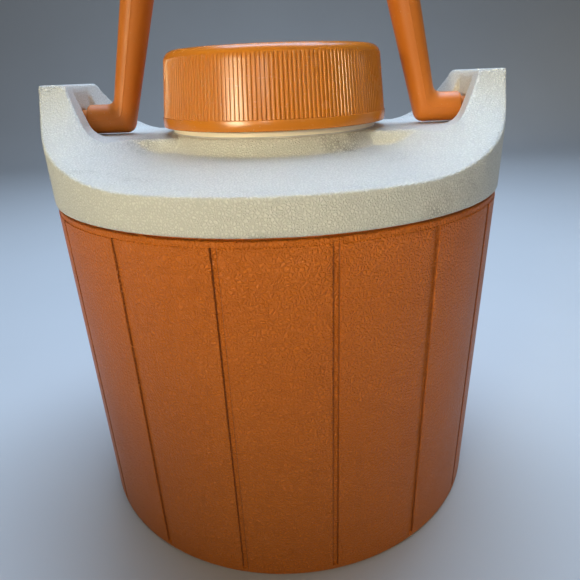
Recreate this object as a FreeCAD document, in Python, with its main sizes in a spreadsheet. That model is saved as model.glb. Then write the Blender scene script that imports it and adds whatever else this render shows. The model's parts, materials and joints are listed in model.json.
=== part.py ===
"""Insulated picnic jug: grooved outer jacket, saddle shoulder with two ears, bail handle, ribbed screw cap.

Millimetres, +Z up, origin at the middle of the foot ring's underside.
The front is -Y.  The handle's axis runs along X through the two ears.
"""
import FreeCAD
import Part
import Sketcher
import math
import os

Vector = FreeCAD.Vector

# Driving dimensions, one spreadsheet row each: alias, value in mm (or degrees, or a count).
DIMENSIONS = {
    # outer jacket
    "jacket_base_radius": 105.4,
    "jacket_top_radius": 106.6,
    "jacket_wall": 2.4,
    "jacket_height": 159.6,
    "panel_top": 157.4,
    "panel_step": 0.4,
    "lip_radius": 103.6,
    "lip_wall": 2.0,
    "lip_top": 166.0,
    "foot_round": 1.6,
    "foot_inner_radius": 94.0,
    "base_recess": 2.5,
    "groove_count": 16,
    "groove_width": 2.6,
    "groove_depth": 0.9,
    "groove_bottom": 3.0,
    # foam filling plug in the base
    "plug_radius": 8.0,
    "plug_head_radius": 11.0,
    "plug_head_thickness": 1.2,
    # inner vessel
    "vessel_base_radius": 90.6,
    "vessel_top_radius": 91.8,
    "vessel_wall": 2.0,
    "vessel_base": 17.0,
    "vessel_wall_top": 160.0,
    "vessel_slope_inner_radius": 52.0,
    "vessel_slope_top": 171.0,
    "vessel_corner": 9.0,
    "neck_radius": 46.6,
    "neck_wall": 2.4,
    "neck_top": 210.5,
    "flange_radius": 49.5,
    "flange_bottom": 186.7,
    "flange_thickness": 2.1,
    # shoulder
    "collar_radius": 107.2,
    "collar_bottom": 160.6,
    "collar_wall": 3.2,
    "rim_height": 174.9,
    "neck_foot_radius": 54.6,
    "neck_foot_height": 179.2,
    "neck_foot_sink": 4.3,
    "neck_collar_radius": 50.4,
    "neck_collar_top": 186.5,
    "neck_bore_radius": 47.4,
    "gasket_seat_radius": 49.7,
    "gasket_seat_depth": 1.0,
    "ear_top": 209.4,
    "bridge_height": 185.6,
    "bridge_half_width": 29.0,
    "ear_profile_drop": 42.5,
    "ear_profile_scale": 1013.0,
    "ear_profile_shift": 3.75,
    "ear_rise_start": 48.2,
    "ear_rise_width": 42.8,
    "ear_sweep_start": 80.8,
    "ear_sweep_radius": 9.3,
    "ear_face_angle": 72.0,
    "slot_half_width": 10.2,
    "slot_end": 94.2,
    "slot_floor": 185.6,
    "pin_hole_radius": 4.55,
    "pin_hole_end": 100.4,
    # handle
    "pivot_height": 193.0,
    "pin_radius": 4.5,
    "pin_end": 99.8,
    "stub_radius": 6.8,
    "stub_end": 91.4,
    "stub_bevel": 1.0,
    "elbow_centre": 74.4,
    "arm_lean_angle": 15.2,
    "arm_width": 11.7,
    "arm_top_width": 17.0,
    "grip_height": 292.0,
    "grip_thickness": 17.0,
    "grip_depth": 23.0,
    "elbow_round": 4.5,
    "elbow_inner_round": 5.5,
    "corner_inner_round": 5.0,
    "corner_round": 13.0,
    # cap
    "cap_radius": 54.1,
    "cap_foot_crest": 53.7,
    "cap_head_crest": 50.9,
    "cap_bottom": 189.1,
    "cap_band_top": 193.6,
    "cap_rib_top": 218.6,
    "cap_top": 221.9,
    "cap_skirt_inner_radius": 49.3,
    "cap_top_wall": 2.3,
    "cap_edge_round": 4.8,
    "cap_inner_chamfer_run": 2.4,
    "cap_inner_chamfer_drop": 4.6,
    "rib_count": 180,
    "rib_depth": 0.55,
    "rib_overshoot": 0.25,
    # screw thread
    "thread_pitch": 8.0,
    "thread_turns": 1.5,
    "thread_start": 193.4,
    "thread_height": 1.9,
    "thread_clearance": 0.3,
    # fits between pieces that stay together
    "small_gap": 0.15,
}

DOCUMENT = FreeCAD.newDocument("picnic_jug")


def make_sheet():
    """The spreadsheet of driving dimensions."""
    sheet = DOCUMENT.addObject("Spreadsheet::Sheet", "dims")
    for row, (alias, value) in enumerate(DIMENSIONS.items(), start=1):
        sheet.set("A%d" % row, alias)
        sheet.set("B%d" % row, str(value))
        sheet.setAlias("B%d" % row, alias)
    DOCUMENT.recompute()
    return sheet


SHEET = make_sheet()


def dim(alias):
    """A driving dimension read back from the spreadsheet."""
    return float(getattr(SHEET, alias))


def value_of(expression):
    """The number that an expression over the sheet's aliases gives now."""
    result = SHEET.evalExpression(expression)
    return float(getattr(result, "Value", result))


def bind(target, prop, expression):
    target.setExpression(prop, expression)


# ---------------------------------------------------------------- bodies of revolution

def origin_feature(body, role):
    """One of a body's own origin planes or axes."""
    for feature in body.Origin.OriginFeatures:
        if feature.Role == role:
            return feature
    raise ValueError("no origin feature " + role)


def outline_sketch(body, name, corners, turn=0.0):
    """A closed polygon in the body's XZ plane, each corner held by two driven distances.

    corners: pairs of expressions (radius, height), a radius of "0" lying on the axis.
    turn: degrees that the sketch plane is turned about the vertical axis.
    """
    sketch = body.newObject("Sketcher::SketchObject", name)
    sketch.AttachmentSupport = [(origin_feature(body, "XZ_Plane"), "")]
    sketch.MapMode = "FlatFace"
    sketch.AttachmentOffset = FreeCAD.Placement(Vector(), FreeCAD.Rotation(Vector(0, 1, 0), turn))
    points = [Vector(value_of(x), value_of(y), 0) for x, y in corners]
    count = len(points)
    for index in range(count):
        sketch.addGeometry(Part.LineSegment(points[index], points[(index + 1) % count]), False)
    for index in range(count):
        sketch.addConstraint(Sketcher.Constraint("Coincident", index, 2, (index + 1) % count, 1))
    for index, (x_text, y_text) in enumerate(corners):
        if x_text == "0":
            sketch.addConstraint(Sketcher.Constraint("PointOnObject", index, 1, -2))
        else:
            number = sketch.addConstraint(Sketcher.Constraint("DistanceX", index, 1, points[index].x))
            sketch.setExpression("Constraints[%d]" % number, x_text)
        number = sketch.addConstraint(Sketcher.Constraint("DistanceY", index, 1, points[index].y))
        sketch.setExpression("Constraints[%d]" % number, y_text)
    return sketch


def revolved_body(label, corners):
    """A PartDesign body made by turning one outline about the vertical axis."""
    body = DOCUMENT.addObject("PartDesign::Body", label)
    body.Label = label
    sketch = outline_sketch(body, label + "_outline", corners)
    turned = body.newObject("PartDesign::Revolution", label + "_turned")
    turned.Profile = sketch
    turned.ReferenceAxis = (sketch, ["V_Axis"])
    turned.Angle = 360.0
    sketch.Visibility = False
    DOCUMENT.recompute()
    return body


def circle_edges(shape, radius, height, tolerance=0.05):
    """Names of the full circles of one radius at one height."""
    names = []
    for number, edge in enumerate(shape.Edges, start=1):
        curve = edge.Curve
        if not isinstance(curve, Part.Circle):
            continue
        if abs(curve.Radius - radius) < tolerance and abs(curve.Center.z - height) < tolerance:
            names.append("Edge%d" % number)
    return names


def round_circles(body, name, circles, radius_expression):
    """Fillet the named circles, given as pairs of expressions (radius, height)."""
    base = body.Tip
    names = []
    for radius_text, height_text in circles:
        names += circle_edges(base.Shape, value_of(radius_text), value_of(height_text))
    fillet = body.newObject("PartDesign::Fillet", name)
    fillet.Base = (base, names)
    bind(fillet, "Radius", radius_expression)
    DOCUMENT.recompute()
    return fillet


def on_cone(low_radius, low_height, high_radius, high_height, height):
    """Expression for a straight tapered wall's radius at a height."""
    share = "((%s) - (%s)) / ((%s) - (%s))" % (height, low_height, high_height, low_height)
    return "(%s) + ((%s) - (%s)) * %s" % (low_radius, high_radius, low_radius, share)


def jacket_radius(height, inset="0"):
    """Expression for the jacket panels' radius at a height, less an inset."""
    cone = on_cone("dims.jacket_base_radius", "0", "dims.jacket_top_radius", "dims.jacket_height", height)
    return cone + " - (%s)" % inset


# ---------------------------------------------------------------- jacket, plug and foam

def make_jacket():
    """Tapered outer jacket: integral base, foot ring, recessed top band, inner lip, 16 panel grooves."""
    step_height = "dims.panel_top + dims.panel_step"
    ledge = "dims.jacket_height - 5"
    body = revolved_body("outer_jacket", [
        ("0", "dims.base_recess"),
        ("dims.foot_inner_radius - 3", "dims.base_recess"),
        ("dims.foot_inner_radius", "0"),
        ("dims.jacket_base_radius", "0"),
        (jacket_radius("dims.panel_top"), "dims.panel_top"),
        (jacket_radius(step_height, "dims.panel_step"), step_height),
        (jacket_radius("dims.jacket_height", "dims.panel_step"), "dims.jacket_height"),
        ("dims.lip_radius", "dims.jacket_height"),
        ("dims.lip_radius", "dims.lip_top"),
        ("dims.lip_radius - dims.lip_wall", "dims.lip_top"),
        ("dims.lip_radius - dims.lip_wall", "dims.jacket_height - 2"),
        (jacket_radius(ledge, "dims.jacket_wall"), ledge),
        (jacket_radius("dims.base_recess", "dims.jacket_wall"), "dims.base_recess + dims.jacket_wall + 0.2"),
        ("0", "dims.base_recess + dims.jacket_wall + 0.2"),
    ])
    round_circles(body, "foot_round", [("dims.jacket_base_radius", "0")], "dims.foot_round")
    cut_panel_grooves(body)
    cut_plug_hole(body)
    return body


def cut_panel_grooves(body):
    """Shallow upright grooves between the panels, as a polar pattern of one cut."""
    before = body.Shape.Volume
    inner = "dims.groove_depth"
    outer = "-1"
    half_pitch = 180.0 / dim("groove_count")
    sketch = outline_sketch(body, "groove_outline", [
        (jacket_radius("dims.groove_bottom", inner), "dims.groove_bottom"),
        (jacket_radius("dims.groove_bottom", outer), "dims.groove_bottom"),
        (jacket_radius("dims.panel_top", outer), "dims.panel_top"),
        (jacket_radius("dims.panel_top", inner), "dims.panel_top"),
    ], half_pitch)
    groove = body.newObject("PartDesign::Pocket", "panel_groove")
    groove.Profile = sketch
    bind(groove, "Length", "dims.groove_width")
    groove.Midplane = True
    sketch.Visibility = False
    DOCUMENT.recompute()
    pattern = body.newObject("PartDesign::PolarPattern", "panel_grooves")
    pattern.Originals = [groove]
    pattern.Axis = (origin_feature(body, "Z_Axis"), [""])
    pattern.Angle = 360.0
    bind(pattern, "Occurrences", "dims.groove_count")
    body.Tip = pattern
    DOCUMENT.recompute()
    if body.Shape.Volume >= before:
        raise ValueError("the panel grooves cut nothing")


def cut_plug_hole(body):
    """The hole in the base through which the foam is poured."""
    before = body.Shape.Volume
    sketch = body.newObject("Sketcher::SketchObject", "plug_hole_circle")
    sketch.AttachmentSupport = [(origin_feature(body, "XY_Plane"), "")]
    sketch.MapMode = "FlatFace"
    sketch.addGeometry(Part.Circle(Vector(), Vector(0, 0, 1), dim("plug_radius")), False)
    sketch.addConstraint(Sketcher.Constraint("Coincident", 0, 3, -1, 1))
    number = sketch.addConstraint(Sketcher.Constraint("Radius", 0, dim("plug_radius")))
    sketch.setExpression("Constraints[%d]" % number, "dims.plug_radius")
    hole = body.newObject("PartDesign::Pocket", "plug_hole")
    hole.Profile = sketch
    hole.Midplane = True
    bind(hole, "Length", "dims.base_recess * 8")
    sketch.Visibility = False
    body.Tip = hole
    DOCUMENT.recompute()
    if body.Shape.Volume >= before:
        raise ValueError("the plug hole cut nothing")


def make_plug():
    """Push-in plug that closes the foam filling hole, its head in the base recess."""
    head_top = "dims.base_recess - 0.1"
    shank = "dims.plug_radius - 0.05"
    tip = "dims.base_recess + dims.jacket_wall + 1.4"
    return revolved_body("filling_plug", [
        ("0", "dims.base_recess - 0.1 - dims.plug_head_thickness"),
        ("dims.plug_head_radius", "dims.base_recess - 0.1 - dims.plug_head_thickness"),
        ("dims.plug_head_radius", head_top),
        (shank, head_top),
        (shank, tip),
        ("dims.plug_radius - 1.5", tip),
        ("dims.plug_radius - 1.5", head_top),
        ("0", head_top),
    ])


def make_foam():
    """Rigid foam that fills the space between the jacket, the shoulder and the inner vessel."""
    floor = "dims.base_recess + dims.jacket_wall + 0.2 + dims.small_gap"
    top_outer = "dims.rim_height - dims.collar_wall - 1.6"
    shell = "dims.jacket_wall + dims.small_gap"
    vessel_outer = "dims.vessel_base_radius + dims.small_gap"
    return revolved_body("foam_insulation", [
        ("dims.plug_head_radius", floor),
        (jacket_radius(floor, shell), floor),
        (jacket_radius("dims.jacket_height - 6", shell), "dims.jacket_height - 6"),
        ("dims.lip_radius - dims.lip_wall - dims.small_gap", "dims.jacket_height - 3"),
        ("dims.lip_radius - dims.lip_wall - dims.small_gap", top_outer),
        ("dims.neck_foot_radius + 2.4", "dims.neck_foot_height - dims.collar_wall - 1.6"),
        ("dims.vessel_slope_inner_radius + 0.4", "dims.vessel_slope_top + 1.2"),
        ("dims.vessel_slope_inner_radius + 0.4", "dims.vessel_slope_top + dims.small_gap + 0.1"),
        ("dims.vessel_top_radius + dims.small_gap", "dims.vessel_wall_top + dims.small_gap + 0.1"),
        (vessel_outer, "dims.vessel_base - dims.small_gap"),
        ("dims.plug_head_radius", "dims.vessel_base - dims.small_gap"),
    ])


# ---------------------------------------------------------------- screw thread

def thread_ridge(root_radius, crest_radius, start_height):
    """A blunt helical ridge standing from root_radius to crest_radius."""
    pitch = dim("thread_pitch")
    half = dim("thread_height") / 2
    rise = pitch * dim("thread_turns")
    buried = 0.6 if crest_radius > root_radius else -0.6
    helix = Part.makeHelix(pitch, rise, root_radius)
    helix.translate(Vector(0, 0, start_height))
    corners = [
        Vector(root_radius - buried, 0, start_height - half),
        Vector(root_radius, 0, start_height - half),
        Vector(crest_radius, 0, start_height - half * 0.55),
        Vector(crest_radius, 0, start_height + half * 0.55),
        Vector(root_radius, 0, start_height + half),
        Vector(root_radius - buried, 0, start_height + half),
    ]
    profile = Part.makePolygon(corners + corners[:1])
    sweep = Part.BRepOffsetAPI.MakePipeShell(Part.Wire(helix.Edges))
    sweep.setFrenetMode(True)
    sweep.add(profile)
    sweep.build()
    sweep.makeSolid()
    ridge = sweep.shape()
    if ridge.Volume < 0:
        ridge.reverse()
    return ridge


def add_thread(label, body, root_radius, crest_radius, start_height):
    """Join a helical ridge to a body; the node is the fused piece."""
    ridge = DOCUMENT.addObject("Part::Feature", label + "_thread")
    ridge.Shape = thread_ridge(root_radius, crest_radius, start_height)
    body.Label = label + "_blank"
    joined = DOCUMENT.addObject("Part::Fuse", label + "_joined")
    joined.Base = body
    joined.Tool = ridge
    joined.Label = label
    DOCUMENT.recompute()
    return joined


# ---------------------------------------------------------------- inner vessel and neck

def make_vessel():
    """Inner vessel with a sloped shoulder, a flanged neck and the external screw thread."""
    wall = "dims.vessel_wall"
    neck_inner = "dims.neck_radius - dims.neck_wall"
    flange_top = "dims.flange_bottom + dims.flange_thickness"
    body = revolved_body("inner_vessel", [
        ("0", "dims.vessel_base"),
        ("dims.vessel_base_radius", "dims.vessel_base"),
        ("dims.vessel_top_radius", "dims.vessel_wall_top"),
        ("dims.vessel_slope_inner_radius", "dims.vessel_slope_top"),
        ("dims.neck_radius", "dims.vessel_slope_top + 1.6"),
        ("dims.neck_radius", "dims.flange_bottom"),
        ("dims.flange_radius", "dims.flange_bottom"),
        ("dims.flange_radius", flange_top),
        ("dims.neck_radius", flange_top),
        ("dims.neck_radius", "dims.neck_top"),
        (neck_inner, "dims.neck_top"),
        (neck_inner, "dims.vessel_slope_top - 0.6"),
        ("dims.vessel_top_radius - 2.2", "dims.vessel_wall_top - 2.0"),
        ("dims.vessel_base_radius - dims.vessel_wall", "dims.vessel_base + dims.vessel_wall"),
        ("0", "dims.vessel_base + " + wall),
    ])
    round_circles(body, "vessel_outer_corner", [("dims.vessel_base_radius", "dims.vessel_base")],
                  "dims.vessel_corner")
    inner_corner = ("dims.vessel_base_radius - dims.vessel_wall", "dims.vessel_base + dims.vessel_wall")
    round_circles(body, "vessel_inner_corner", [inner_corner], "dims.vessel_corner - dims.vessel_wall")
    root = dim("neck_radius")
    crest = dim("cap_skirt_inner_radius") - dim("thread_clearance")
    return add_thread("inner_vessel", body, root, crest, dim("thread_start"))


def make_neck_gasket():
    """Flat ring in the shoulder's seat, under the vessel's flange."""
    seat = "dims.neck_collar_top - dims.gasket_seat_depth + 0.05"
    return revolved_body("neck_gasket", [
        ("dims.neck_bore_radius + 0.2", seat),
        ("dims.gasket_seat_radius - 0.2", seat),
        ("dims.gasket_seat_radius - 0.2", "dims.flange_bottom - 0.05"),
        ("dims.neck_bore_radius + 0.2", "dims.flange_bottom - 0.05"),
    ])


# ---------------------------------------------------------------- shoulder

def smooth_step(value):
    """0 below 0, 1 above 1, and a smooth rise between."""
    share = min(max(value, 0.0), 1.0)
    return share * share * (3 - 2 * share)


def saddle_height(across, along):
    """Height of the shoulder's upper face: a shallow dome that sweeps up into the ears.

    across is the distance from the YZ plane, along the distance from the XZ plane.
    """
    radius = dim("collar_radius")
    reach = math.hypot(across, along)
    dome_run = (radius - reach) / (radius - dim("neck_foot_radius"))
    dome = dim("rim_height") + (dim("neck_foot_height") - dim("rim_height")) * dome_run
    sweep = dim("ear_top") - dim("ear_profile_drop")
    sweep += dim("ear_profile_scale") / (along + dim("ear_profile_shift"))
    rise = smooth_step((abs(across) - dim("ear_rise_start")) / dim("ear_rise_width"))
    return dome + (sweep - dim("rim_height")) * rise


def saddle_solid():
    """Everything below the front half of the upper face, as one prism."""
    reach = dim("collar_radius") + 6
    near = dim("slot_half_width") + 4
    columns = 41
    rows = 19
    grid = []
    for row in range(rows):
        share = row / (rows - 1)
        along = near + (reach - near) * share ** 1.5
        line = []
        for column in range(columns):
            across = -reach + 2 * reach * column / (columns - 1)
            line.append(Vector(across, -along, saddle_height(across, along)))
        grid.append(line)
    surface = Part.BSplineSurface()
    surface.interpolate(grid)
    prism = surface.toShape().extrude(Vector(0, 0, -200))
    return prism


def ear_cutter():
    """The space round the cap between the two ears, turned about the cap's axis."""
    start = dim("ear_sweep_start")
    radius = dim("ear_sweep_radius")
    floor = dim("bridge_height")
    lean = math.radians(dim("ear_face_angle"))
    top = dim("ear_top") + 12

    def on_sweep(angle):
        return Vector(start + radius * math.sin(angle), 0, floor + radius * (1 - math.cos(angle)))

    tangent = on_sweep(lean)
    corner = Vector(tangent.x + (top - tangent.z) / math.tan(lean), 0, top)
    foot = Vector(start, 0, floor)
    edges = [
        Part.makeLine(Vector(0, 0, floor), foot),
        Part.Arc(foot, on_sweep(lean / 2), tangent).toShape(),
        Part.makeLine(tangent, corner),
        Part.makeLine(corner, Vector(0, 0, top)),
        Part.makeLine(Vector(0, 0, top), Vector(0, 0, floor)),
    ]
    return Part.Face(Part.Wire(edges)).revolve(Vector(), Vector(0, 0, 1), 360)


def bridge_solid():
    """The raised strip from ear to ear, with sloped front and back edges."""
    half = dim("bridge_half_width")
    top = dim("bridge_height")
    foot = top - 12
    length = dim("ear_sweep_start") + 6
    corners = [(-half - 4, foot), (-half, top), (half, top), (half + 4, foot)]
    points = [Vector(-length, y, z) for y, z in corners]
    strip = Part.Face(Part.makePolygon(points + points[:1])).extrude(Vector(2 * length, 0, 0))
    edges = [edge for edge in strip.Edges
             if abs(edge.BoundBox.ZMin - top) < 0.01 and edge.BoundBox.XLength > length]
    return strip.makeFillet(2.2, edges)


def neck_collar_solid():
    """The short textured neck; its cone runs on below the upper face, so that the two cross cleanly."""
    upper_radius = dim("neck_collar_radius") + 0.6
    upper_height = dim("neck_collar_top") - 1.0
    slope = (dim("neck_foot_radius") - upper_radius) / (upper_height - dim("neck_foot_height"))
    sink = dim("neck_foot_sink")
    low_radius = dim("neck_foot_radius") + slope * sink
    floor = dim("neck_foot_height") - 2 * sink
    outline = [
        Vector(0, 0, floor),
        Vector(low_radius, 0, floor),
        Vector(low_radius, 0, dim("neck_foot_height") - sink),
        Vector(upper_radius, 0, upper_height),
        Vector(dim("neck_collar_radius") - 0.3, 0, dim("neck_collar_top")),
        Vector(0, 0, dim("neck_collar_top")),
    ]
    face = Part.Face(Part.makePolygon(outline + outline[:1]))
    return face.revolve(Vector(), Vector(0, 0, 1), 360)


def shoulder_cavity():
    """The hollow under the shoulder that the jacket's lip and the foam fill."""
    skirt = dim("lip_radius") + dim("small_gap")
    outline = [
        Vector(0, 0, dim("collar_bottom") - 5),
        Vector(skirt, 0, dim("collar_bottom") - 5),
        Vector(skirt, 0, dim("lip_top") + 0.4),
        Vector(skirt, 0, dim("rim_height") - dim("collar_wall")),
        Vector(dim("neck_foot_radius") + 2.0, 0, dim("neck_foot_height") - dim("collar_wall")),
        Vector(dim("neck_bore_radius"), 0, dim("neck_foot_height") - dim("collar_wall") - 1.0),
        Vector(0, 0, dim("neck_foot_height") - dim("collar_wall") - 1.0),
    ]
    face = Part.Face(Part.makePolygon(outline + outline[:1]))
    return face.revolve(Vector(), Vector(0, 0, 1), 360)


def ear_slots():
    """The handle's slot and pin hole in each ear."""
    half = dim("slot_half_width")
    tools = []
    for side in (-1, 1):
        slot = Part.makeBox(dim("slot_end") - 60, 2 * half, 60, Vector(60, -half, dim("slot_floor")))
        hole = Part.makeCylinder(dim("pin_hole_radius"), dim("pin_hole_end") - 70,
                                 Vector(70, 0, dim("pivot_height")), Vector(1, 0, 0))
        for tool in (slot, hole):
            tools.append(tool if side == 1 else tool.mirror(Vector(), Vector(1, 0, 0)))
    return tools


def joined_with(solid, addition, name):
    """The two solids fused, stopping if the fuse lost either of them."""
    shared = solid.common(addition).Volume
    joined = solid.fuse(addition)
    expected = solid.Volume + addition.Volume - shared
    if abs(joined.Volume - expected) > expected * 0.001:
        raise ValueError("fusing the %s gave %.0f mm3, not %.0f" % (name, joined.Volume, expected))
    return joined


def check_neck(solid):
    """Stop unless the neck stands all round the bore."""
    radius = (dim("neck_bore_radius") + dim("neck_collar_radius")) / 2
    height = dim("neck_collar_top") - dim("gasket_seat_depth") - 1
    for angle in range(0, 360, 15):
        turn = math.radians(angle)
        probe = Vector(radius * math.cos(turn), radius * math.sin(turn), height)
        if not solid.isInside(probe, 0.001, True):
            raise ValueError("the neck is missing at %d degrees" % angle)


def make_shoulder():
    """Moulded shoulder: collar band, saddle face, two ears, bridge strip and neck."""
    front = saddle_solid()
    back = front.mirror(Vector(), Vector(0, 1, 0))
    near = dim("slot_half_width") + 5
    reach = dim("collar_radius") + 1
    middle = Part.makeBox(2 * reach, 2 * near, 100, Vector(-reach, -near, dim("ear_top") - 99))
    drum = Part.makeCylinder(dim("collar_radius"), dim("ear_top") - dim("collar_bottom"),
                             Vector(0, 0, dim("collar_bottom")))
    solid = front.fuse([back, middle]).common(drum)
    solid = solid.cut(ear_cutter())
    solid = joined_with(solid, bridge_solid().common(drum), "bridge")
    solid = joined_with(solid, neck_collar_solid(), "neck collar")
    bore = Part.makeCylinder(dim("neck_bore_radius"), 80, Vector(0, 0, 130))
    seat = Part.makeCylinder(dim("gasket_seat_radius"), 5,
                             Vector(0, 0, dim("neck_collar_top") - dim("gasket_seat_depth")))
    solid = solid.cut([bore, seat, shoulder_cavity()] + ear_slots())
    solid = solid.removeSplitter()
    check_neck(solid)
    shoulder = DOCUMENT.addObject("Part::Feature", "shoulder")
    shoulder.Shape = solid
    shoulder.Label = "shoulder"
    shoulder.Placement = FreeCAD.Placement()
    return shoulder


# ---------------------------------------------------------------- handle

def section_points(inner, outer, depth, count=24):
    """Points round an oval section, starting at the outer point."""
    centre = (inner + outer) * 0.5
    arm = (outer - inner) * 0.5
    side = Vector(0, depth / 2, 0)
    angles = [2 * math.pi * step / count for step in range(count)]
    return [centre + arm * math.cos(angle) + side * math.sin(angle) for angle in angles]


def line_meet(point_a, direction_a, point_b, direction_b):
    """Where two lines in the XZ plane meet."""
    cross = direction_a.x * direction_b.z - direction_a.z * direction_b.x
    gap = point_b - point_a
    step = (gap.x * direction_b.z - gap.z * direction_b.x) / cross
    return point_a + direction_a * step


def bend_sections(inner_corner, outer_corner, into, out_of, inner_round, outer_round, depth, steps=6):
    """Sections fanned round a bend whose inner and outer corners are both rounded.

    into and out_of are the unit directions before and after the corner.
    """
    turn = math.acos(into.dot(out_of))
    setback = math.tan(turn / 2)
    sections = []
    for step in range(steps + 1):
        share = step / steps
        inner = corner_point(inner_corner, into, out_of, inner_round * setback, share)
        outer = corner_point(outer_corner, into, out_of, outer_round * setback, share)
        sections.append((inner, outer, depth))
    return sections


def corner_point(corner, into, out_of, setback, share):
    """A point on the curve that rounds a corner, from share 0 to share 1."""
    start = corner - into * setback
    end = corner + out_of * setback
    return start * (1 - share) ** 2 + corner * (2 * share * (1 - share)) + end * share ** 2


def handle_sections():
    """Sections of the right half of the bail, from the stub's end to the middle of the grip."""
    pivot = dim("pivot_height")
    stub = dim("stub_radius")
    lean = math.radians(dim("arm_lean_angle"))
    stub_way = Vector(-1, 0, 0)
    grip_way = Vector(-1, 0, 0)
    elbow = Vector(dim("elbow_centre"), 0, pivot)
    arm_way = Vector(-math.sin(lean), 0, math.cos(lean))
    arm_out = Vector(math.cos(lean), 0, math.sin(lean))
    rise = dim("grip_height") - pivot
    arm_end = elbow + arm_way * (rise / math.cos(lean))
    low_half = dim("arm_width") / 2
    high_half = dim("arm_top_width") / 2
    outside = (elbow + arm_out * low_half, arm_end + arm_out * high_half)
    inside = (elbow - arm_out * low_half, arm_end - arm_out * high_half)
    out_way = (outside[1] - outside[0]).normalize()
    in_way = (inside[1] - inside[0]).normalize()
    half_grip = dim("grip_thickness") / 2
    grip_top = Vector(0, 0, dim("grip_height") + half_grip)
    grip_low = Vector(0, 0, dim("grip_height") - half_grip)
    elbow_low = line_meet(Vector(0, 0, pivot - stub), stub_way, inside[0], in_way)
    elbow_high = line_meet(Vector(0, 0, pivot + stub), stub_way, outside[0], out_way)
    corner_high = line_meet(outside[0], out_way, grip_top, grip_way)
    corner_low = line_meet(inside[0], in_way, grip_low, grip_way)
    depth = 2 * stub
    tip = dim("stub_end")
    bevel = dim("stub_bevel")
    sections = [
        (Vector(tip, 0, pivot - stub + bevel), Vector(tip, 0, pivot + stub - bevel), depth - 2 * bevel),
        (Vector(tip - bevel, 0, pivot - stub), Vector(tip - bevel, 0, pivot + stub), depth),
    ]
    sections += bend_sections(elbow_low, elbow_high, stub_way, arm_way,
                              dim("elbow_inner_round"), dim("elbow_round"), depth)
    grip_depth = dim("grip_depth")
    sections += bend_sections(corner_low, corner_high, arm_way, grip_way,
                              dim("corner_inner_round"), dim("corner_round"), grip_depth - 3)
    sections.append((Vector(grip_low), Vector(grip_top), grip_depth))
    return sections


def make_handle():
    """Bail handle in one moulding: two pins, stubs, leaning arms and the grip."""
    wires = []
    for inner, outer, depth in handle_sections():
        points = section_points(inner, outer, depth)
        curve = Part.BSplineCurve()
        curve.interpolate(points, PeriodicFlag=True)
        wires.append(Part.Wire(curve.toShape()))
    half = Part.makeLoft(wires, True, True)
    pin = Part.makeCylinder(dim("pin_radius"), dim("pin_end") - dim("stub_end") + 4,
                            Vector(dim("stub_end") - 4, 0, dim("pivot_height")), Vector(1, 0, 0))
    half = half.fuse(pin)
    other = half.mirror(Vector(), Vector(1, 0, 0))
    handle = DOCUMENT.addObject("Part::Feature", "handle")
    handle.Shape = half.fuse(other).removeSplitter()
    handle.Label = "handle"
    handle.Placement = FreeCAD.Placement()
    return handle


# ---------------------------------------------------------------- cap

def crest_radius(height):
    """Expression for the ribs' outer radius at a height on the drafted side of the cap."""
    return on_cone("dims.cap_foot_crest", "dims.cap_band_top",
                   "dims.cap_head_crest", "dims.cap_rib_top", height)


def make_cap_shell():
    """Drafted cap: plain lower band, 180 upright ribs, rounded top edge, internal screw thread."""
    ceiling = "dims.cap_top - dims.cap_top_wall"
    top_corner = crest_radius("dims.cap_top")
    body = revolved_body("cap_shell", [
        ("0", ceiling),
        ("dims.cap_skirt_inner_radius - dims.cap_inner_chamfer_run", ceiling),
        ("dims.cap_skirt_inner_radius", ceiling + " - dims.cap_inner_chamfer_drop"),
        ("dims.cap_skirt_inner_radius", "dims.cap_bottom"),
        ("dims.cap_radius", "dims.cap_bottom"),
        ("dims.cap_radius", "dims.cap_band_top - 0.3"),
        ("dims.cap_radius - 0.3", "dims.cap_band_top"),
        ("dims.cap_foot_crest", "dims.cap_band_top"),
        (top_corner, "dims.cap_top"),
        ("0", "dims.cap_top"),
    ])
    round_circles(body, "cap_edge", [(top_corner, "dims.cap_top")], "dims.cap_edge_round")
    crest = dim("neck_radius") + dim("thread_clearance")
    start = dim("thread_start") + dim("thread_pitch") / 2
    threaded = add_thread("cap_shell", body, dim("cap_skirt_inner_radius"), crest, start)
    threaded.Label = "cap_shell_threaded"
    valleys = DOCUMENT.addObject("Part::Feature", "cap_valleys")
    valleys.Shape = rib_valleys()
    ribbed = DOCUMENT.addObject("Part::Cut", "cap_shell_ribbed")
    ribbed.Base = threaded
    ribbed.Tool = valleys
    ribbed.Label = "cap_shell"
    DOCUMENT.recompute()
    return ribbed


def rib_polygon(valley, crest, height):
    """A star outline, one wide-topped tooth every rib pitch, whose flanks reach past the crest."""
    pitch = 2 * math.pi / int(dim("rib_count"))
    beyond = dim("rib_overshoot")
    flank = 0.14 * (1 + beyond / dim("rib_depth"))
    outer = crest + beyond
    shape_steps = ((0.0, valley), (0.22, valley), (0.22 + flank, outer), (1.0 - flank, outer))
    points = []
    for rib in range(int(dim("rib_count"))):
        for share, radius in shape_steps:
            angle = (rib + share) * pitch
            points.append(Vector(radius * math.cos(angle), radius * math.sin(angle), height))
    return Part.makePolygon(points + points[:1])


def rib_valleys():
    """The valleys between the ribs, as the space between a cone and the star-shaped ring of ribs."""
    low = dim("cap_band_top")
    high = dim("cap_rib_top")
    margin = dim("rib_overshoot") * 0.7
    rings = []
    for crest, height in ((dim("cap_foot_crest"), low), (dim("cap_head_crest"), high)):
        rings.append(rib_polygon(crest - dim("rib_depth"), crest, height))
    star = Part.makeLoft(rings, True, True)
    cone = Part.makeCone(dim("cap_foot_crest") + margin, dim("cap_head_crest") + margin, high - low,
                         Vector(0, 0, low))
    return cone.cut(star)


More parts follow.
